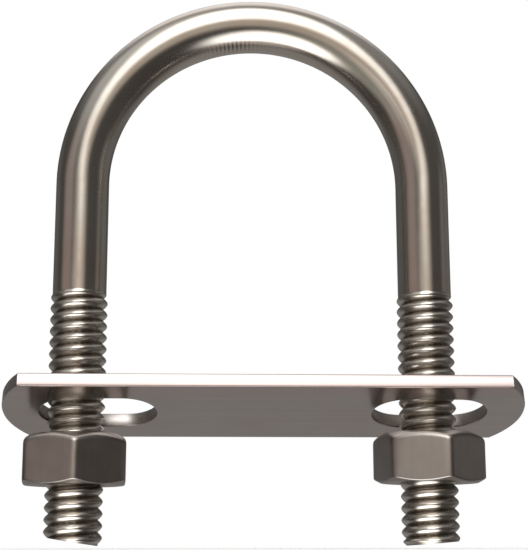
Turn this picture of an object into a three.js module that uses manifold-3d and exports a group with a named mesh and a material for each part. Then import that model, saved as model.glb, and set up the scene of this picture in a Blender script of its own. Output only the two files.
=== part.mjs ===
// Pad eye in the form of a U-bolt: a stainless rod bent to a U, a slotted backing plate
// on its two threaded legs, and a hexagon nut under the plate on each leg.
// Millimetres, +Z up. The origin is midway between the two leg axes, level with the
// lower end of the left leg. X runs from leg to leg and Y from front to back.

import * as THREE from "three";
import { mergeVertices } from "three/addons/utils/BufferGeometryUtils.js";
import Module from "manifold-3d";

const wasm = await Module();
wasm.setup();

// ---- Driving dimensions ----

// U-bolt
const legSpacing = 38.4;
const overallHeight = 62;
const rodDiameter = 5.9;
const threadedLength = 27.3;

// Thread: 1/4-20 unified coarse, rolled, right hand
const threadPitch = 1.27;
const threadMajor = 6.25;
const threadDepth = 0.58;
const crestFlat = 0.2;
const rootFlat = 0.32;
const legEndAngles = [9, 4.5];

// Backing plate
const plateLength = 56.8;
const plateStraight = 52;
const plateWidth = 14;
const plateThickness = 1.5;
const slotLength = 12.6;
const slotWidth = 7.3;
const slotSpacing = 36.1;
const plateTilt = 17.4;
const plateShift = 1.3;
const plateHeight = 14.2;

// Nuts
const nutAcrossFlats = 10.9;
const nutThickness = 5.4;
const nutBottoms = [6.35, 6.65];
const nutTurns = [35.3, 43];
const nutBottomFace = 10.6;
const nutTopFace = 9.5;
const nutChamferAngle = 28;
const threadClearance = 0.12;

// ---- Derived sizes ----

const legX = legSpacing / 2;
const rodRadius = rodDiameter / 2;
const bendRadius = legSpacing / 2;
const springLine = overallHeight - rodRadius - bendRadius;
const majorRadius = threadMajor / 2;
const rootRadius = majorRadius - threadDepth;
const runOut = threadPitch;
const tilt = THREE.MathUtils.degToRad(plateTilt);
const plateSetBack = (plateThickness * Math.sin(tilt)) / 2;
const overlap = 0.1;

// ---- Facets ----

const threadSegments = 16;
const rodSegments = 24;
const bendSteps = 28;
const coneSegments = 32;

// ---- Solids ----

// A closed three.js geometry as a solid that can be cut and joined.
function solid(geometry) {
  const bare = geometry.clone();
  bare.deleteAttribute("normal");
  bare.deleteAttribute("uv");
  const merged = mergeVertices(bare, 1e-4);
  const mesh = new wasm.Mesh({
    numProp: 3,
    vertProperties: merged.getAttribute("position").array,
    triVerts: new Uint32Array(merged.index.array),
  });
  return new wasm.Manifold(mesh);
}

// A solid as a flat-shaded three.js geometry.
function geometryOf(body) {
  const mesh = body.getMesh();
  const geometry = new THREE.BufferGeometry();
  geometry.setAttribute("position", new THREE.BufferAttribute(mesh.vertProperties, 3));
  geometry.setIndex(new THREE.BufferAttribute(mesh.triVerts, 1));
  const flat = geometry.toNonIndexed();
  flat.computeVertexNormals();
  return flat;
}

// A profile of [radius, height] pairs turned about Z. It starts at its lowest point on
// the axis and ends at its highest, so that its faces point out.
function turned(profile, segments) {
  const points = profile.map(([radius, height]) => new THREE.Vector2(radius, height));
  return solid(new THREE.LatheGeometry(points, segments).rotateX(Math.PI / 2));
}

// A right-hand screw thread about Z: four lines, the two edges of the crest and the two
// of the root, wind up the axis together. Turn n starts at height n pitches in the
// direction of +X, so every thread that is made here runs in every other.
function screw(firstTurn, lastTurn, growth) {
  const root = rootRadius + growth;
  const crest = majorRadius + growth;
  const flank = (threadPitch - crestFlat - rootFlat) / 2;
  const lines = [
    [root, 0],
    [root, rootFlat],
    [crest, rootFlat + flank],
    [crest, rootFlat + flank + crestFlat],
  ];
  const last = lines.length - 1;
  const count = (lastTurn - firstTurn) * threadSegments;
  const positions = [];
  for (let step = 0; step <= count; step += 1) {
    const angle = (step / threadSegments) * 2 * Math.PI;
    const rise = (firstTurn + step / threadSegments) * threadPitch;
    for (const [radius, height] of lines) {
      positions.push(radius * Math.cos(angle), radius * Math.sin(angle), rise + height);
    }
  }
  const lowPole = positions.length / 3;
  positions.push(0, 0, (firstTurn - 1) * threadPitch);
  const highPole = lowPole + 1;
  positions.push(0, 0, (lastTurn + 2) * threadPitch);

  // The vertex on a line at a step; the line after the last is the first, a turn on.
  const vertex = (line, step) =>
    line < lines.length ? step * lines.length + line : (step + threadSegments) * lines.length;
  const faces = [];
  for (let step = 0; step < count; step += 1) {
    const top = step + threadSegments < count ? lines.length : last;
    for (let line = 0; line < top; line += 1) {
      const [a, b] = [vertex(line, step), vertex(line, step + 1)];
      const [c, d] = [vertex(line + 1, step + 1), vertex(line + 1, step)];
      faces.push(a, b, c, a, c, d);
    }
  }
  // The rim of each end: once round the helix, then straight along the profile.
  const lowRim = [];
  for (let step = 0; step < threadSegments; step += 1) lowRim.push(vertex(0, step));
  for (let line = lines.length; line > 0; line -= 1) lowRim.push(vertex(line, 0));
  const highRim = [];
  for (let step = count - threadSegments; step < count; step += 1) highRim.push(vertex(last, step));
  for (let line = last; line >= 0; line -= 1) highRim.push(vertex(line, count));
  lowRim.forEach((from, i) => faces.push(lowPole, lowRim[(i + 1) % lowRim.length], from));
  highRim.forEach((from, i) => faces.push(highPole, from, highRim[(i + 1) % highRim.length]));

  const geometry = new THREE.BufferGeometry();
  geometry.setAttribute("position", new THREE.Float32BufferAttribute(positions, 3));
  geometry.setIndex(faces);
  return solid(geometry);
}

// ---- U-bolt ----

// The centre line of the plain rod: up the left leg from the end of the thread, over
// the half-circle of the bend, and down the right leg. Stations are one step apart.
class RodLine extends THREE.Curve {
  getPoint(t, target = new THREE.Vector3()) {
    const station = t * (bendSteps + 2);
    if (station <= 1) {
      return target.set(-legX, 0, THREE.MathUtils.lerp(threadedLength, springLine, station));
    }
    if (station >= bendSteps + 1) {
      const down = station - bendSteps - 1;
      return target.set(legX, 0, THREE.MathUtils.lerp(springLine, threadedLength, down));
    }
    const angle = Math.PI * (1 - (station - 1) / bendSteps);
    return target.set(bendRadius * Math.cos(angle), 0, springLine + bendRadius * Math.sin(angle));
  }

  getPointAt(u, target) {
    return this.getPoint(u, target);
  }

  getTangentAt(u, target = new THREE.Vector3()) {
    const station = THREE.MathUtils.clamp(u * (bendSteps + 2) - 1, 0, bendSteps);
    const angle = Math.PI * (1 - station / bendSteps);
    return target.set(Math.sin(angle), 0, -Math.cos(angle));
  }
}

function plainRod() {
  const section = new THREE.Shape();
  section.absarc(0, 0, rodRadius, 0, 2 * Math.PI);
  return solid(
    new THREE.ExtrudeGeometry(section, {
      steps: bendSteps + 2,
      curveSegments: rodSegments / 2,
      extrudePath: new RodLine(),
    }),
  );
}

// One threaded leg about its own axis. The thread is chamfered at the lower end and
// fades into the plain rod over one pitch at the upper end.
function threadedLeg() {
  const envelope = turned(
    [
      [0, 0],
      [rootRadius, 0],
      [majorRadius + overlap, threadDepth + overlap],
      [majorRadius + overlap, threadedLength - runOut],
      [rodRadius - overlap, threadedLength + overlap],
      [0, threadedLength + overlap],
    ],
    coneSegments,
  );
  const fade = turned(
    [
      [0, threadedLength - runOut],
      [rootRadius - overlap, threadedLength - runOut],
      [rodRadius - overlap, threadedLength],
      [rodRadius - overlap, threadedLength + overlap],
      [0, threadedLength + overlap],
    ],
    rodSegments,
  );
  const turns = Math.ceil(threadedLength / threadPitch) + 1;
  return screw(-2, turns, 0).intersect(envelope).add(fade);
}

// The block that shears a leg off at a small angle to square, highest at the outside.
function endShear(degrees) {
  const block = new THREE.BoxGeometry(4 * threadMajor, 2 * threadMajor, 2 * threadMajor);
  block.translate(0, 0, -threadMajor);
  block.rotateY(THREE.MathUtils.degToRad(degrees));
  block.translate(0, 0, rootRadius * Math.tan(THREE.MathUtils.degToRad(Math.abs(degrees))));
  return solid(block);
}

function uBolt() {
  const [left, right] = legEndAngles;
  const leg = threadedLeg();
  const leftLeg = leg.subtract(endShear(left)).translate([-legX, 0, 0]);
  const rightLeg = leg.subtract(endShear(-right)).translate([legX, 0, 0]);
  return plainRod().add(leftLeg).add(rightLeg);
}

// ---- Backing plate ----

// A flat bar with shallow rounded ends, and an obround slot for each leg.
function backingPlate() {
  const corner = plateStraight / 2;
  const side = plateWidth / 2;
  const crown = (plateLength - plateStraight) / 2;
  const endRadius = (side ** 2 + crown ** 2) / (2 * crown);
  const endCentre = plateLength / 2 - endRadius;
  const sweep = Math.asin(side / endRadius);

  const outline = new THREE.Shape();
  outline.moveTo(-corner, -side);
  outline.lineTo(corner, -side);
  outline.absarc(endCentre, 0, endRadius, -sweep, sweep);
  outline.lineTo(-corner, side);
  outline.absarc(-endCentre, 0, endRadius, Math.PI - sweep, Math.PI + sweep);

  const slotRadius = slotWidth / 2;
  const slotReach = slotLength / 2 - slotRadius;
  for (const centre of [-slotSpacing / 2, slotSpacing / 2]) {
    const slot = new THREE.Path();
    slot.absarc(centre + slotReach, 0, slotRadius, -Math.PI / 2, Math.PI / 2);
    slot.absarc(centre - slotReach, 0, slotRadius, Math.PI / 2, (3 * Math.PI) / 2);
    outline.holes.push(slot);
  }
  return new THREE.ExtrudeGeometry(outline, {
    depth: plateThickness,
    bevelEnabled: false,
    curveSegments: 7,
  });
}

// ---- Nuts ----

// A hexagon nut about its leg's axis, from its height on the leg up, chamfered at both
// faces and more at the top, with its corners turned by an angle. Its thread doesn't turn
// or rise with it, so that it meshes with the leg's.
function nut(nutBottom, turnDegrees) {
  const cornerRadius = nutAcrossFlats / Math.sqrt(3);
  const corners = [0, 60, 120, 180, 240, 300].map((degrees) => {
    const angle = THREE.MathUtils.degToRad(degrees + turnDegrees);
    return new THREE.Vector2(cornerRadius * Math.cos(angle), cornerRadius * Math.sin(angle));
  });
  const hexagon = new THREE.Shape(corners);
  const prism = new THREE.ExtrudeGeometry(hexagon, { depth: nutThickness, bevelEnabled: false });
  prism.translate(0, 0, nutBottom);

  const nutTop = nutBottom + nutThickness;
  const brim = cornerRadius + overlap;
  const slope = Math.tan(THREE.MathUtils.degToRad(nutChamferAngle));
  const lowFace = nutBottomFace / 2;
  const highFace = nutTopFace / 2;
  const chamfers = turned(
    [
      [0, nutBottom],
      [lowFace, nutBottom],
      [brim, nutBottom + (brim - lowFace) * slope],
      [brim, nutTop - (brim - highFace) * slope],
      [highFace, nutTop],
      [0, nutTop],
    ],
    coneSegments,
  );
  return solid(prism).intersect(chamfers).subtract(tappedHole(nutBottom));
}

// The nut's hole: the leg's thread grown by the clearance, countersunk at both faces.
function tappedHole(nutBottom) {
  const nutTop = nutBottom + nutThickness;
  const mouth = majorRadius + 2 * threadClearance;
  const depth = mouth - rootRadius;
  const through = screw(
    Math.floor(nutBottom / threadPitch) - 2,
    Math.ceil(nutTop / threadPitch) + 2,
    threadClearance,
  );
  const lowSink = turned(
    [
      [0, nutBottom - overlap],
      [mouth + overlap, nutBottom - overlap],
      [rootRadius, nutBottom + depth],
      [0, nutBottom + depth],
    ],
    coneSegments,
  );
  const highSink = turned(
    [
      [0, nutTop - depth],
      [rootRadius, nutTop - depth],
      [mouth + overlap, nutTop + overlap],
      [0, nutTop + overlap],
    ],
    coneSegments,
  );
  return through.add(lowSink).add(highSink);
}

// ---- Finishes ----

const polishedStainless = new THREE.MeshStandardMaterial({
  color: 0x9a8f86,
  roughness: 0.22,
  metalness: 1,
});
const brushedStainless = new THREE.MeshStandardMaterial({
  color: 0x8e8886,
  roughness: 0.38,
  metalness: 1,
});
const plainStainless = new THREE.MeshStandardMaterial({
  color: 0x7d756e,
  roughness: 0.34,
  metalness: 1,
});

// ---- Assembly ----

const group = new THREE.Group();

function place(name, geometry, material) {
  const mesh = new THREE.Mesh(geometry, material);
  mesh.name = name;
  group.add(mesh);
  return mesh;
}

place("u_bolt", geometryOf(uBolt()), polishedStainless);

const plate = place("backing_plate", backingPlate(), brushedStainless);
plate.rotation.x = -tilt;
plate.position.set(plateShift, -plateSetBack, plateHeight);

for (const [index, name] of ["nut_left", "nut_right"].entries()) {
  const nutMesh = place(name, geometryOf(nut(nutBottoms[index], nutTurns[index])), plainStainless);
  nutMesh.position.x = index === 0 ? -legX : legX;
}

export default group;
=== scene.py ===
import math

import bmesh
import bpy
import numpy as np
from mathutils import Matrix, Vector


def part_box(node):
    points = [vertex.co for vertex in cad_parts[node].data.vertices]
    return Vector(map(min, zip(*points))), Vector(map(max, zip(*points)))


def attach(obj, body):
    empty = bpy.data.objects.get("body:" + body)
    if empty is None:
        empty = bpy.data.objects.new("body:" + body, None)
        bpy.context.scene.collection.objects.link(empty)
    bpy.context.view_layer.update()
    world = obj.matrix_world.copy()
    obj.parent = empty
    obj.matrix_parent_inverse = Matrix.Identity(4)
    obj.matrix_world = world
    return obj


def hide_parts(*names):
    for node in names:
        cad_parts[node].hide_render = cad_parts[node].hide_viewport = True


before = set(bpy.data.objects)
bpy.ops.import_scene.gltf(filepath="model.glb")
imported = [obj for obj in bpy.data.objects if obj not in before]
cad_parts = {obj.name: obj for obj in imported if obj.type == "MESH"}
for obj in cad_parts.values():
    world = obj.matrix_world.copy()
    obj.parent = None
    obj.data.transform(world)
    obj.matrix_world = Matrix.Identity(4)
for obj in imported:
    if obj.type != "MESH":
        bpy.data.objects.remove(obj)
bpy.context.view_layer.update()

MM = 0.001


# ---- U-bolt ----
# One round bar of 304 stainless, cut to length, its ends thread-rolled, then bent cold
# round a former and polished. Rolling pushes the crests out past the plain bar, and the
# shear leaves the two leg ends a little off square.

bolt_low, bolt_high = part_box("u_bolt")
ROD_RADIUS = 2.95 * MM
CREST_RADIUS = bolt_high.y
THREAD_DEPTH = 0.5 * MM
ROOT_RADIUS = CREST_RADIUS - THREAD_DEPTH
LEG_X = bolt_high.x - CREST_RADIUS
SPRING_LINE = bolt_high.z - ROD_RADIUS - LEG_X
THREADED_LENGTH = 27.3 * MM
PITCH = 1.27 * MM
LEFT_SHEAR = math.radians(9)
RIGHT_SHEAR = math.radians(4.5)

# The middle of the crest, as a share of one pitch, and how the thread falls from it: 1 would
# be a plain V and 2 a round crest.
CREST_CENTRE = 0.626
CREST_POWER = 1.6

# Where the thread has faded out into the plain bar, and the length it takes to fade.
RUN_OUT_END = THREADED_LENGTH + 0.1 * PITCH
RUN_OUT_LENGTH = 0.6 * PITCH

# Columns round the rod, rows along it, and the passes that settle the sheared rim.
ROD_COLUMNS = 72
ROWS_A_PITCH = 24
PLAIN_ROWS = 12
BEND_ROWS = 132
RIM_PASSES = 6

# An edge that turns by more degrees than this stays crisp, on every piece.
CREASE_DEGREES = 42


def smooth(share):
    """The S-curve 3 s^2 - 2 s^3 of a share held between 0 and 1."""
    share = np.clip(share, 0, 1)
    return share * share * (3 - 2 * share)


def thread_radius(height, turns):
    """Radius of a right-hand rolled thread, with a barrelled crest and a narrow root. Over
    one pitch of (height / pitch - turns) it falls from the crest by the depth of the
    thread * (2 * distance from the middle of the crest) ^ power."""
    phase = (height / PITCH - turns - CREST_CENTRE) % 1
    away = 2 * np.minimum(phase, 1 - phase)
    return CREST_RADIUS - THREAD_DEPTH * away ** CREST_POWER


def grid_quads(rows, columns):
    """Quads of a grid that closes on itself along its columns: each vertex with the next
    in its row and their neighbours in the row after. Returned as (rows - 1, columns, 4)."""
    row, column = np.meshgrid(np.arange(rows - 1), np.arange(columns), indexing="ij")
    after = (column + 1) % columns
    corners = (row * columns + column, row * columns + after,
               (row + 1) * columns + after, (row + 1) * columns + column)
    return np.stack(corners, axis=-1)


def make_piece(name, points, faces):
    """A smooth-shaded mesh object of these points and faces, with its sharpest edges left
    crisp. Its place is in its vertices."""
    mesh = bpy.data.meshes.new(name)
    mesh.from_pydata(points.reshape(-1, 3).tolist(), [], faces)
    mesh.polygons.foreach_set("use_smooth", np.ones(len(mesh.polygons), bool))
    mesh.set_sharp_from_angle(angle=math.radians(CREASE_DEGREES))
    piece = bpy.data.objects.new(name, mesh)
    bpy.context.scene.collection.objects.link(piece)
    return piece


def vertex_value(piece, name, values):
    """Stores one number a vertex, for the material to read."""
    attribute = piece.data.attributes.new(name, "FLOAT", "POINT")
    attribute.data.foreach_set("value", np.asarray(values, np.float32).ravel())


def leg_rows(shear, turns):
    """Heights and radii of one leg's rows, from the rim of its sheared end to the end of
    its thread. The end is the plane tan(shear) * (root + r cos(angle)), highest at the
    outside, and the radius there is held under a 45 degree chamfer. The rim's height and
    radius hang on each other, so they are worked out by turns."""
    angle = np.linspace(0, 2 * np.pi, ROD_COLUMNS, endpoint=False)
    rim = np.full(ROD_COLUMNS, ROOT_RADIUS)
    for _ in range(RIM_PASSES):
        end = math.tan(shear) * (ROOT_RADIUS + rim * np.cos(angle))
        rim = np.minimum(thread_radius(end, turns), ROOT_RADIUS + end)
    first = np.linspace(0, 1, ROWS_A_PITCH, endpoint=False)[:, None]
    near_end = end + (PITCH - end) * first
    count = round((RUN_OUT_END - PITCH) / PITCH * ROWS_A_PITCH)
    above = np.linspace(PITCH, RUN_OUT_END, count)[:, None] + 0 * angle
    height = np.vstack([near_end, above])
    thread = np.minimum(thread_radius(height, turns), ROOT_RADIUS + height)
    fade = smooth(1 - (RUN_OUT_END - height) / RUN_OUT_LENGTH)
    return height, thread * (1 - fade) + ROD_RADIUS * fade


def u_bolt_surface():
    """One closed tube on a grid of rows along the rod and columns round it. With t the
    angle round the bend, 0 on the left leg and pi on the right, r the radius and a the
    angle round the rod from its outer side:
    x = -cos(t) * (leg + r cos a), y = r sin a, z = height + sin(t) * (leg + r cos a).
    Returned with the radius, and with each point's place on the bar before it was bent."""
    angle = np.linspace(0, 2 * np.pi, ROD_COLUMNS, endpoint=False)
    left_z, left_r = leg_rows(LEFT_SHEAR, 0.5 - angle / (2 * np.pi))
    right_z, right_r = leg_rows(RIGHT_SHEAR, angle / (2 * np.pi))
    plain = np.linspace(left_z.max(), SPRING_LINE, PLAIN_ROWS)[1:-1, None] + 0 * angle
    bend = np.linspace(0, math.pi, BEND_ROWS)[:, None] + 0 * angle
    height = np.vstack([left_z, plain, 0 * bend + SPRING_LINE, plain[::-1], right_z[::-1]])
    radius = np.vstack([left_r, 0 * plain + ROD_RADIUS, 0 * bend + ROD_RADIUS,
                        0 * plain + ROD_RADIUS, right_r[::-1]])
    turn = np.vstack([0 * left_z, 0 * plain, bend, 0 * plain + math.pi, 0 * right_z + math.pi])
    reach = LEG_X + radius * np.cos(angle)
    points = np.stack([-np.cos(turn) * reach, radius * np.sin(angle),
                       height + np.sin(turn) * reach], axis=-1)
    along = LEG_X * turn + np.where(turn < math.pi, height, 2 * SPRING_LINE - height)
    straight = np.stack([along, radius * np.cos(angle), radius * np.sin(angle)], axis=-1)
    return points, radius, straight


# The tube is closed by a face at each sheared end.
points, radius, straight = u_bolt_surface()
rows = points.shape[0]
faces = grid_quads(rows, ROD_COLUMNS).reshape(-1, 4)[:, ::-1].tolist()
faces.append(list(range(ROD_COLUMNS)))
faces.append(list(range(rows * ROD_COLUMNS - 1, (rows - 1) * ROD_COLUMNS - 1, -1)))
bent_rod = make_piece("bent_threaded_rod", points, faces)

# How deep each point lies in the thread's groove, 1 at the root. The material uses it to paint
# shade into the roots as a darker colour.
sunk = (ROD_RADIUS - radius) / (ROD_RADIUS - ROOT_RADIUS)
vertex_value(bent_rod, "groove", np.clip(sunk, 0, 1))

# The rolls burnish the threads brighter than the belt leaves the plain bar.
distance = np.minimum(straight[..., 0], straight[..., 0].max() - straight[..., 0])
vertex_value(bent_rod, "threaded", distance < THREADED_LENGTH)

# The former's two edges pinch the inside of the bend, just left of its top. In radians: how
# far round the bend they do, how far either side of its inner line, and over what spread.
PINCH_TURN = 1.43
PINCH_TURN_SPREAD = 0.13
PINCH_LAP = 0.4
PINCH_LAP_SPREAD = 0.2
lap = np.abs(np.linspace(-np.pi, np.pi, ROD_COLUMNS, endpoint=False))
turned = (straight[..., 0] - SPRING_LINE) / LEG_X
turn_share = (turned - PINCH_TURN) / PINCH_TURN_SPREAD
lap_share = (lap - PINCH_LAP) / PINCH_LAP_SPREAD
vertex_value(bent_rod, "pinch", np.exp(-turn_share ** 2 - lap_share ** 2))

# Where a point was on the straight bar, before it was bent.
bar = bent_rod.data.attributes.new("bar", "FLOAT_VECTOR", "POINT")
bar.data.foreach_set("vector", straight.astype(np.float32).ravel())


def linear(code):
    """An sRGB hex colour such as 0x8a817a as linear red, green, blue and alpha."""
    channels = [(code >> shift & 0xFF) / 255 for shift in (16, 8, 0)]
    return [c / 12.92 if c <= 0.04045 else ((c + 0.055) / 1.055) ** 2.4 for c in channels] + [1]


def add_node(tree, kind, inputs=(), **settings):
    """Adds a shader node, sets its properties, and links or fills each (input, value). A mix
    of two colours takes them at its inputs 6 and 7 and gives its result at output 2."""
    made = tree.nodes.new("ShaderNode" + kind)
    for key, value in settings.items():
        setattr(made, key, value)
    for key, value in inputs:
        if isinstance(value, bpy.types.NodeSocket):
            tree.links.new(value, made.inputs[key])
        else:
            made.inputs[key].default_value = value
    return made


def new_metal(name):
    """A material with one fully metallic shader, and its node tree."""
    material = bpy.data.materials.new(name)
    material.use_nodes = True
    shader = material.node_tree.nodes["Principled BSDF"]
    shader.inputs["Metallic"].default_value = 1.0
    return material, material.node_tree, shader


# How many to a millimetre: the belt's streaks, along and across the bar, the clouds in its
# tint, and the waves that bending leaves in it.
BELT_STREAKS = (0.07 / MM, 3.3 / MM, 3.3 / MM)
BAR_CLOUDS = 0.17 / MM
BAR_WAVES = 0.26 / MM
NICK_SPACING = 0.55 * MM


def polished_stainless():
    """304 stainless bar, belt polished along its length: near mirror, with faint streaks
    from the belt, warm and cool clouds in its tint, brighter threads with painted shade
    darkening their roots, and a few nicks from the former. The real belt lines are some
    0.05 mm apart and are drawn at 0.3 mm."""
    material, tree, shader = new_metal("polished_304_stainless")
    place = add_node(tree, "TexCoord").outputs["Object"]
    bar = add_node(tree, "Attribute", attribute_name="bar").outputs["Vector"]
    laid = add_node(tree, "Mapping", [("Vector", bar), ("Scale", BELT_STREAKS)])
    noise = add_node(tree, "TexNoise", [("Vector", laid.outputs[0]), ("Scale", 1.0),
                                        ("Detail", 3.0)])
    belt = noise.outputs["Fac"]
    cloud = add_node(tree, "TexNoise", [("Vector", place), ("Scale", BAR_CLOUDS), ("Detail", 3.0)])
    warmth = add_node(tree, "MapRange", [("Value", cloud.outputs["Fac"]), ("From Min", 0.35),
                                         ("From Max", 0.65)])
    tint = add_node(tree, "Mix", [("Factor", warmth.outputs[0]), (6, linear(0xCFC6BC)),
                                  (7, linear(0xD5D2CA))], data_type="RGBA")
    streak = add_node(tree, "MapRange", [("Value", belt), ("To Max", 0.5)])
    streaked = add_node(tree, "Mix", [("Factor", streak.outputs[0]), (6, tint.outputs[2]),
                                      (7, linear(0xA89F96))], data_type="RGBA")
    threaded = add_node(tree, "Attribute", attribute_name="threaded").outputs["Fac"]
    rolled = add_node(tree, "Mix", [("Factor", threaded), (6, streaked.outputs[2]),
                                    (7, linear(0xD2CCC3))], data_type="RGBA")
    # Painted shade: the colour darkens towards the roots of the thread, more the deeper a point
    # lies in the groove.
    groove = add_node(tree, "Attribute", attribute_name="groove").outputs["Fac"]
    depth = add_node(tree, "Math", [(0, groove), (1, 1.6)], operation="POWER").outputs[0]
    dull = add_node(tree, "MapRange", [("Value", depth), ("To Max", 0.7)])
    dulled = add_node(tree, "Mix", [("Factor", dull.outputs[0]), (6, rolled.outputs[2]),
                                    (7, linear(0x5E5546))], data_type="RGBA")
    length = add_node(tree, "SeparateXYZ", [(0, bar)]).outputs[0]
    turns = add_node(tree, "Math", [(0, length), (1, 2 * math.pi / NICK_SPACING)],
                     operation="MULTIPLY")
    tooth = add_node(tree, "Math", [(0, turns.outputs[0])], operation="SINE").outputs[0]
    pinch = add_node(tree, "Attribute", attribute_name="pinch").outputs["Fac"]
    nick = add_node(tree, "Math", [(0, tooth), (1, pinch)], operation="MULTIPLY", use_clamp=True)
    nicked = add_node(tree, "Mix", [("Factor", nick.outputs[0]), (6, dulled.outputs[2]),
                                    (7, linear(0x5C554E))], data_type="RGBA")
    tree.links.new(nicked.outputs[2], shader.inputs["Base Color"])
    base = add_node(tree, "MapRange", [("Value", belt), ("To Min", 0.14), ("To Max", 0.26)])
    rougher = add_node(tree, "MapRange", [("Value", threaded), ("To Max", 0.03)])
    rough = add_node(tree, "Math", [(0, base.outputs[0]), (1, rougher.outputs[0])], operation="ADD")
    tree.links.new(rough.outputs[0], shader.inputs["Roughness"])
    wave = add_node(tree, "TexNoise", [("Vector", place), ("Scale", BAR_WAVES), ("Detail", 2.0)])
    swell = add_node(tree, "Bump", [("Height", wave.outputs["Fac"]), ("Strength", 0.3),
                                    ("Distance", 0.07 * MM)])
    lined = add_node(tree, "Bump", [("Height", belt), ("Strength", 0.12),
                                    ("Distance", 0.01 * MM), ("Normal", swell.outputs[0])])
    dented = add_node(tree, "Bump", [("Height", nick.outputs[0]), ("Strength", 0.35),
                                     ("Distance", 0.04 * MM), ("Normal", lined.outputs[0])],
                      invert=True)
    tree.links.new(dented.outputs[0], shader.inputs["Normal"])
    return material


bent_rod.data.materials.append(polished_stainless())
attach(bent_rod, "bolt")
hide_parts("u_bolt")


# ---- Backing plate ----
# A flat stainless bar, blanked with shallow rounded ends and two obround slots that let it
# fit legs at slightly different centres. It lies loose on the legs, its far edge lower,
# until the nuts draw it up. The blanking leaves its edges a little rounded.

plate_low, plate_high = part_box("backing_plate")
PLATE_TILT = math.radians(17.4)
PLATE_HALF_WIDTH = 7 * MM
PLATE_THICKNESS = 1.5 * MM
PLATE_STRAIGHT = 26 * MM
PLATE_HALF_LENGTH = (plate_high.x - plate_low.x) / 2
SLOT_CENTRE = 18.05 * MM
SLOT_RADIUS = 3.65 * MM
SLOT_REACH = 2.65 * MM
PLATE_EDGE = 0.16 * MM

# Columns along each side and round the end, and down the middle. The last value keeps a
# divisor from being nought.
SIDE_COLUMNS = 72
MIDDLE_COLUMNS = 24
NEVER_ZERO = 1e-9


def plate_outline(inset):
    """The right half of the plate's outline, drawn in by an inset: along the near side,
    round the end's arc, back along the far side and down the middle. Returns x and y, and
    the number of the first column on the middle line."""
    side = PLATE_HALF_WIDTH
    crown = PLATE_HALF_LENGTH - PLATE_STRAIGHT
    arc = (side ** 2 + crown ** 2) / (2 * crown)
    centre = PLATE_HALF_LENGTH - arc
    side, arc = side - inset, arc - inset
    sweep = math.asin(side / arc)
    bow = np.linspace(-sweep, sweep, SIDE_COLUMNS, endpoint=False)
    corner = centre + arc * math.cos(sweep)
    run = np.linspace(0, corner, SIDE_COLUMNS, endpoint=False)
    middle = np.linspace(side, -side, MIDDLE_COLUMNS, endpoint=False)
    x = np.concatenate([run, centre + arc * np.cos(bow), corner - run, 0 * middle])
    y = np.concatenate([0 * run - side, arc * np.sin(bow), 0 * run + side, middle])
    return x, y, 3 * SIDE_COLUMNS


def slot_outline(x, y, growth):
    """The slot's outline grown by an amount, at the directions of x and y from its middle:
    on its straight sides the distance is radius / |sin|, and on its round ends it is
    reach |cos| + sqrt(radius^2 - reach^2 sin^2)."""
    direction = np.arctan2(y, x - SLOT_CENTRE)
    cosine, sine = np.cos(direction), np.sin(direction)
    radius = SLOT_RADIUS + growth
    straight = radius / np.maximum(np.abs(sine), NEVER_ZERO)
    square = np.maximum(radius ** 2 - (SLOT_REACH * sine) ** 2, 0)
    ends = SLOT_REACH * np.abs(cosine) + np.sqrt(square)
    distance = np.where(straight * np.abs(cosine) <= SLOT_REACH, straight, ends)
    return SLOT_CENTRE + distance * cosine, distance * sine


def ring_quads(rings, columns):
    """Quads of a grid that closes on itself both ways, its last ring joined to its first."""
    return grid_quads(rings + 1, columns) % (rings * columns)


def plate_half():
    """Half of the plate as rings carried round its slot: up the slot's wall, out over the
    upper face, down the rim and back over the lower face. Each edge is rounded, with a
    ring close beside it that keeps the faces flat. The rings that go down the rim have no
    faces on the middle line, where the other half joins on."""
    outer_x, outer_y, middle = plate_outline(0)
    top, edge = PLATE_THICKNESS, PLATE_EDGE
    shoulder = 0.3 * edge
    wall_shares = (0.0, 0.5, 1.0)
    rings = []

    def slot_ring(growth, height):
        x, y = slot_outline(outer_x, outer_y, growth)
        rings.append(np.stack([x, y, 0 * x + height], axis=-1))

    def rim_ring(inset, height):
        x, y, _ = plate_outline(inset)
        rings.append(np.stack([x, y, 0 * x + height], axis=-1))

    for share in wall_shares:
        slot_ring(0, edge + share * (top - 2 * edge))
    slot_ring(shoulder, top - shoulder)
    slot_ring(edge, top)
    slot_ring(2 * edge, top)
    rim_first = len(rings)
    rim_ring(2 * edge, top)
    rim_ring(edge, top)
    rim_ring(shoulder, top - shoulder)
    for share in reversed(wall_shares):
        rim_ring(0, edge + share * (top - 2 * edge))
    rim_ring(shoulder, shoulder)
    rim_ring(edge, 0)
    rim_ring(2 * edge, 0)
    rim_last = len(rings) - 1
    slot_ring(2 * edge, 0)
    slot_ring(edge, 0)
    slot_ring(shoulder, shoulder)
    points = np.stack(rings)
    count, columns = points.shape[:2]
    cut = np.zeros((count, columns))
    cut[:len(wall_shares)] = 1
    quads = ring_quads(count, columns)
    keep = np.ones(quads.shape[:2], bool)
    keep[rim_first:rim_last, middle:] = False
    return points.reshape(-1, 3), quads[keep], cut.ravel()


# The other half is the mirror image. The whole is tilted and set where the plain plate is.
half, quads, cut = plate_half()
other = half * np.array([-1, 1, 1])
points = np.vstack([half, other])
faces = np.vstack([quads, quads[:, ::-1] + len(half)])
tilt = np.array([[1, 0, 0],
                 [0, math.cos(PLATE_TILT), math.sin(PLATE_TILT)],
                 [0, -math.sin(PLATE_TILT), math.cos(PLATE_TILT)]])
place = np.array([(plate_low.x + plate_high.x) / 2, (plate_low.y + plate_high.y) / 2, 0])
points = points @ tilt.T
points += place - np.array([0, (points[:, 1].min() + points[:, 1].max()) / 2, 0])
points[:, 2] += plate_low.z - points[:, 2].min()
slotted_plate = make_piece("slotted_backing_plate", points, faces.tolist())
vertex_value(slotted_plate, "punched", np.concatenate([cut, cut]))

SAME_PLACE = 0.001 * MM


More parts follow.
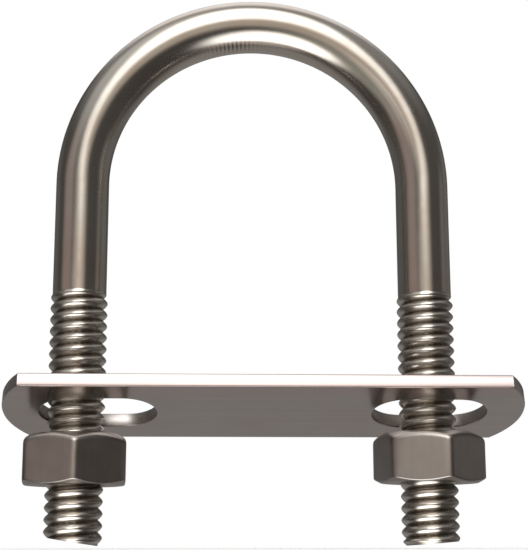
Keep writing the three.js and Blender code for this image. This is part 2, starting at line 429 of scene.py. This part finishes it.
def join_doubles(piece):
    """Merges the vertices that meet on the line where two halves join, and drops those
    that hold no face."""
    work = bmesh.new()
    work.from_mesh(piece.data)
    spare = [vertex for vertex in work.verts if not vertex.link_faces]
    bmesh.ops.delete(work, geom=spare, context="VERTS")
    bmesh.ops.remove_doubles(work, verts=work.verts, dist=SAME_PLACE)
    bmesh.ops.recalc_face_normals(work, faces=work.faces)
    work.to_mesh(piece.data)
    work.free()


join_doubles(slotted_plate)


# How many to a millimetre: the grain of the rolls, along and across the strip, and the
# clouds in its tint.
ROLL_GRAIN = (0.06 / MM, 3.3 / MM, 3.3 / MM)
STRIP_CLOUDS = 0.12 / MM

# The pinkish tint, measured from the near edge: full up to the first, gone at the second.
PINK_FULL = 0.4 * MM
PINK_GONE = 2.8 * MM


def rolled_stainless():
    """304 stainless strip as it comes from the mill: half mirror, with the fine grain of
    the rolls along its length, a pinkish tint beside the near edge, and matt walls
    where the slots are punched. The grain is some 0.05 mm wide and is drawn at 0.3."""
    material, tree, shader = new_metal("rolled_304_stainless")
    place = add_node(tree, "TexCoord").outputs["Object"]
    laid = add_node(tree, "Mapping", [("Vector", place), ("Scale", ROLL_GRAIN)])
    noise = add_node(tree, "TexNoise", [("Vector", laid.outputs[0]), ("Scale", 1.0),
                                        ("Detail", 3.0)])
    grain = noise.outputs["Fac"]
    cloud = add_node(tree, "TexNoise", [("Vector", place), ("Scale", STRIP_CLOUDS),
                                        ("Detail", 2.0)])
    mottle = add_node(tree, "Mix", [("Factor", cloud.outputs["Fac"]), (6, linear(0xBDB5B1)),
                                    (7, linear(0xCCC8C4))], data_type="RGBA")
    lines = add_node(tree, "MapRange", [("Value", grain), ("To Max", 0.35)])
    tint = add_node(tree, "Mix", [("Factor", lines.outputs[0]), (6, mottle.outputs[2]),
                                  (7, linear(0xA29C99))], data_type="RGBA")
    across = add_node(tree, "SeparateXYZ", [(0, place)]).outputs[1]
    # A pinkish tint in the colour, strongest at the plate's near edge and fading out across it.
    edge = add_node(tree, "MapRange", [("Value", across), ("From Min", plate_low.y + PINK_FULL),
                                       ("From Max", plate_low.y + PINK_GONE), ("To Min", 0.5),
                                       ("To Max", 0.0)], interpolation_type="SMOOTHSTEP")
    pinked = add_node(tree, "Mix", [("Factor", edge.outputs[0]), (6, tint.outputs[2]),
                                    (7, linear(0xC6B2B0))], data_type="RGBA")
    tree.links.new(pinked.outputs[2], shader.inputs["Base Color"])
    punched = add_node(tree, "Attribute", attribute_name="punched").outputs["Fac"]
    base = add_node(tree, "MapRange", [("Value", grain), ("To Min", 0.13), ("To Max", 0.27)])
    matt = add_node(tree, "MapRange", [("Value", punched), ("To Max", 0.16)])
    rough = add_node(tree, "Math", [(0, base.outputs[0]), (1, matt.outputs[0])], operation="ADD")
    tree.links.new(rough.outputs[0], shader.inputs["Roughness"])
    bump = add_node(tree, "Bump", [("Height", grain), ("Strength", 0.15), ("Distance", 0.01 * MM)])
    tree.links.new(bump.outputs[0], shader.inputs["Normal"])
    return material


slotted_plate.data.materials.append(rolled_stainless())
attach(slotted_plate, "plate")
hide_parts("backing_plate")


# ---- Nuts ----
# Two plain hexagon nuts, parted off drawn stainless bar, chamfered at both faces and more
# at the top, countersunk and tapped. The flats keep the satin of the drawing die, and the
# nuts turn on the legs' threads.

NUT_HALF_FLATS = 5.45 * MM
THREAD_GAP = 0.12 * MM

# How far a corner of each nut is turned from the X axis, in degrees.
NUT_TURNS = {"nut_left": 35.3, "nut_right": 43.0}

# The radius where each face meets its chamfer, the chamfers' angle, and how far their
# edges with the flats and the upright corners are rounded.
NUT_LOW_FACE = 5.3 * MM
NUT_HIGH_FACE = 4.75 * MM
NUT_CHAMFER = math.radians(28)
NUT_SLOPE = math.tan(NUT_CHAMFER)
NUT_HIGH_FILLET = 0.48 * MM
NUT_LOW_FILLET = 0.15 * MM
CORNER_INSET = 0.15 * MM
CORNER_BLEND = 0.12 * MM

# Columns round the nut, and where its rings lie, as counts or as shares of each stretch.
COLUMNS_A_FLAT = 32
COLUMN_CROWDING = 1.6
HOLE_ROWS = 78
HIGH_FILLET_ROWS = 7
LOW_FILLET_ROWS = 6
FACE_SHARES = (0.35, 0.7, 0.97)
CHAMFER_SHARES = (0.03, 0.3)
FLAT_SHARES = (0.25, 0.5, 0.75)


def hexagon(turn_degrees):
    """Angles and radii round a hexagon: half the flats / cos(angle from the middle of the
    flat), with the columns drawn closer together towards the corners. The smooth lesser of
    that and the corner's own radius, (a + b - sqrt((a - b)^2 + blend^2)) / 2, rounds them."""
    share = np.linspace(-1, 1, COLUMNS_A_FLAT, endpoint=False)
    off = 30 * np.sign(share) * (1 - (1 - np.abs(share)) ** COLUMN_CROWDING)
    degrees = (np.arange(6)[:, None] * 60 + 30 + off).ravel()
    off = np.tile(off, 6)
    radius = NUT_HALF_FLATS / np.cos(np.radians(off))
    corner = NUT_HALF_FLATS / math.cos(math.radians(30)) - CORNER_INSET
    blunt = 0.5 * (radius + corner - np.sqrt((radius - corner) ** 2 + CORNER_BLEND ** 2))
    return np.radians(degrees + turn_degrees), blunt


def nut_surface(centre_x, low, high, turn_degrees):
    """A nut as rings carried round its section: up the tapped hole, out over the upper
    face, down the chamfer, the flat and the lower chamfer, and in over the lower face. The
    edges of the flat are rounded by (1 - u)^2 of the way in along the chamfer and u^2 of
    the way along the flat."""
    angle, outside = hexagon(turn_degrees)
    turns = angle / (2 * np.pi)
    mouth = CREST_RADIUS + 2 * THREAD_GAP
    radii, heights = [], []

    def ring(radius, height):
        radii.append(radius + 0 * angle)
        heights.append(height + 0 * angle)

    for height in np.linspace(low, high, HOLE_ROWS):
        sink = np.maximum(mouth - (high - height), mouth - (height - low))
        ring(np.maximum(thread_radius(height, turns) + THREAD_GAP, sink), height)
    high_edge = high - (outside - NUT_HIGH_FACE) * NUT_SLOPE
    low_edge = low + (outside - NUT_LOW_FACE) * NUT_SLOPE
    slant_in, slant_up = math.cos(NUT_CHAMFER), math.sin(NUT_CHAMFER)
    for share in FACE_SHARES:
        ring(mouth + (NUT_HIGH_FACE - mouth) * share, high)
    for share in CHAMFER_SHARES:
        reach = (outside - NUT_HIGH_FACE) * share
        ring(NUT_HIGH_FACE + reach, high - reach * NUT_SLOPE)
    for u in np.linspace(0, 1, HIGH_FILLET_ROWS):
        slant = (1 - u) ** 2 * NUT_HIGH_FILLET
        ring(outside - slant * slant_in, high_edge + slant * slant_up - u ** 2 * NUT_HIGH_FILLET)
    flat_top, flat_foot = high_edge - NUT_HIGH_FILLET, low_edge + NUT_LOW_FILLET
    for share in FLAT_SHARES:
        ring(outside, flat_top + (flat_foot - flat_top) * share)
    for u in np.linspace(1, 0, LOW_FILLET_ROWS):
        slant = (1 - u) ** 2 * NUT_LOW_FILLET
        ring(outside - slant * slant_in, low_edge - slant * slant_up + u ** 2 * NUT_LOW_FILLET)
    for share in reversed(CHAMFER_SHARES):
        reach = (outside - NUT_LOW_FACE) * share
        ring(NUT_LOW_FACE + reach, low + reach * NUT_SLOPE)
    for share in reversed(FACE_SHARES):
        ring(mouth + (NUT_LOW_FACE - mouth) * share, low)
    radius, height = np.array(radii), np.array(heights)
    return np.stack([centre_x + radius * np.cos(angle), radius * np.sin(angle), height], axis=-1)


# How many to a millimetre: the lines of the drawing die, round and along the bar, and the
# clouds in its tint.
DIE_LINES = (2.6 / MM, 2.6 / MM, 0.16 / MM)
NUT_CLOUDS = 0.42 / MM


def drawn_stainless():
    """304 stainless hexagon bar with a drawn, tumbled finish: satin, darker and warmer
    than the rod, clouded, with faint upright lines on the flats."""
    material, tree, shader = new_metal("drawn_304_stainless")
    place = add_node(tree, "TexCoord").outputs["Object"]
    upright = add_node(tree, "Mapping", [("Vector", place), ("Scale", DIE_LINES)])
    noise = add_node(tree, "TexNoise", [("Vector", upright.outputs[0]), ("Scale", 1.0),
                                        ("Detail", 3.0)])
    lines = noise.outputs["Fac"]
    clouds = add_node(tree, "TexNoise", [("Vector", place), ("Scale", NUT_CLOUDS), ("Detail", 4.0)])
    cloud = clouds.outputs["Fac"]
    mottle = add_node(tree, "Mix", [("Factor", cloud), (6, linear(0xA69E98)),
                                    (7, linear(0xC0BAB5))], data_type="RGBA")
    lined = add_node(tree, "MapRange", [("Value", lines), ("To Max", 0.3)])
    tint = add_node(tree, "Mix", [("Factor", lined.outputs[0]), (6, mottle.outputs[2]),
                                  (7, linear(0x8C847E))], data_type="RGBA")
    tree.links.new(tint.outputs[2], shader.inputs["Base Color"])
    rough = add_node(tree, "MapRange", [("Value", cloud), ("To Min", 0.26), ("To Max", 0.42)])
    tree.links.new(rough.outputs[0], shader.inputs["Roughness"])
    bump = add_node(tree, "Bump", [("Height", lines), ("Strength", 0.2), ("Distance", 0.02 * MM)])
    tree.links.new(bump.outputs[0], shader.inputs["Normal"])
    return material


nut_finish = drawn_stainless()
for node, body in (("nut_left", "left_nut"), ("nut_right", "right_nut")):
    low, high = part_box(node)
    points = nut_surface(LEG_X if node == "nut_right" else -LEG_X, low.z, high.z, NUT_TURNS[node])
    quads = ring_quads(*points.shape[:2])
    nut = make_piece("hexagon_" + node, points, quads.reshape(-1, 4)[:, ::-1].tolist())
    nut.data.materials.append(nut_finish)
    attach(nut, body)
    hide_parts(node)


# ---- Studio ----
# A pale floor just under the leg ends, which the metal doesn't mirror, and soft round lamps
# with darker gaps between them, which polished steel needs to show its shape.

FLOOR_DROP = 0.3 * MM
FLOOR_REACH = 3.0
floor_mesh = bpy.data.meshes.new("floor")
floor_corners = [(x * FLOOR_REACH, y * FLOOR_REACH, -FLOOR_DROP)
                 for x, y in ((-1, -1), (1, -1), (1, 1), (-1, 1))]
floor_mesh.from_pydata(floor_corners, [], [(0, 1, 2, 3)])
floor = bpy.data.objects.new("floor", floor_mesh)
bpy.context.scene.collection.objects.link(floor)
floor_paint = bpy.data.materials.new("pale_floor")
floor_paint.use_nodes = True
floor_shader = floor_paint.node_tree.nodes["Principled BSDF"]
floor_shader.inputs["Base Color"].default_value = linear(0xFCFCFB)
floor_shader.inputs["Roughness"].default_value = 0.9
floor_shader.inputs["Specular IOR Level"].default_value = 0.0
floor_mesh.materials.append(floor_paint)
floor.visible_glossy = False

# The even glow that the metal mirrors between the lamps.
GLOW = 0x4A4744

# Soft lamps round the object, each as azimuth and elevation of its middle, the angles
# where it is full and where it has faded out, its strength and its colour. Azimuth 0 is
# the camera's side and 90 the right. The ones below stand in for the floor.
LAMPS = [
    (0, 36, 8, 25, 2.1, 0xFFFEFC),
    (0, 54, 8, 24, 2.0, 0xFFFEFC),
    (-34, 50, 12, 36, 0.42, 0xFBFCFA),
    (1, 6, 8, 30, 0.52, 0xFFF1E2),
    (-25, 0, 5, 17, 0.46, 0xFFF6F0),
    (-57, 8, 11, 27, 0.28, 0xFFE4DE),
    (86, 9, 4, 15, 0.14, 0xFFF8F2),
    (-18, -66, 16, 38, 2.8, 0xFFFFFF),
    (-36, -30, 14, 36, 0.30, 0xF6F6EA),
    (0, 88, 24, 62, 0.26, 0xFCFCFC),
    (0, 120, 10, 34, 0.9, 0xFFF8F6),
    (180, -36, 20, 60, 0.24, 0xFFFAF8),
    (-128, 6, 8, 30, 0.06, 0xF0F4FF),
    (120, 6, 8, 30, 0.10, 0xFFFFFF),
]


def studio_light():
    """A world that is plain white to the camera and on the floor, and that the metal
    mirrors as a dim even glow with one soft-edged round lamp for each line of the list."""
    world = bpy.data.worlds.new("studio")
    world.use_nodes = True
    tree = world.node_tree
    tree.nodes.clear()
    direction = add_node(tree, "TexCoord").outputs["Generated"]
    total = linear(GLOW)[:3]
    for azimuth, elevation, full, gone, strength, colour in LAMPS:
        a, e = math.radians(azimuth), math.radians(elevation)
        axis = (math.sin(a) * math.cos(e), -math.cos(a) * math.cos(e), math.sin(e))
        facing = add_node(tree, "VectorMath", [(0, direction), (1, axis)], operation="DOT_PRODUCT")
        lamp = add_node(tree, "MapRange", [("Value", facing.outputs["Value"]),
                                           ("From Min", math.cos(math.radians(gone))),
                                           ("From Max", math.cos(math.radians(full)))],
                        interpolation_type="SMOOTHSTEP")
        shade = [strength * channel for channel in linear(colour)[:3]]
        lit = add_node(tree, "VectorMath", [(0, shade), ("Scale", lamp.outputs[0])],
                       operation="SCALE")
        total = add_node(tree, "VectorMath", [(0, total), (1, lit.outputs[0])],
                         operation="ADD").outputs[0]
    mirrored = add_node(tree, "LightPath").outputs["Is Glossy Ray"]
    shown = add_node(tree, "Mix", [("Factor", mirrored), (6, linear(0xFFFFFF)), (7, total)],
                     data_type="RGBA")
    glow = add_node(tree, "Background", [("Color", shown.outputs[2])])
    add_node(tree, "OutputWorld", [("Surface", glow.outputs[0])])
    bpy.context.scene.world = world


studio_light()
bpy.context.scene.view_settings.view_transform = "Standard"

# The camera: close in front and low, looking up a little at the loose plate's underside.
# Its lens and its sensor are in real millimetres.
CAMERA_PLACE = Vector((-4.708, -139.488, -0.1)) * MM
CAMERA_PITCH = math.radians(12.015)
CAMERA_YAW = math.radians(2.44)
CAMERA_ROLL = math.radians(0.062)
CAMERA_LENS = 83.588
SENSOR_WIDTH = 36
NEAREST_SEEN = 5 * MM
camera_data = bpy.data.cameras.new("camera")
camera_data.sensor_width = SENSOR_WIDTH
camera_data.lens = CAMERA_LENS
camera_data.clip_start = NEAREST_SEEN
camera = bpy.data.objects.new("camera", camera_data)
bpy.context.scene.collection.objects.link(camera)
camera.matrix_world = (
    Matrix.Translation(CAMERA_PLACE)
    @ Matrix.Rotation(-CAMERA_YAW, 4, "Z")
    @ Matrix.Rotation(math.radians(90) + CAMERA_PITCH, 4, "X")
    @ Matrix.Rotation(-CAMERA_ROLL, 4, "Z")
)
bpy.context.scene.camera = camera
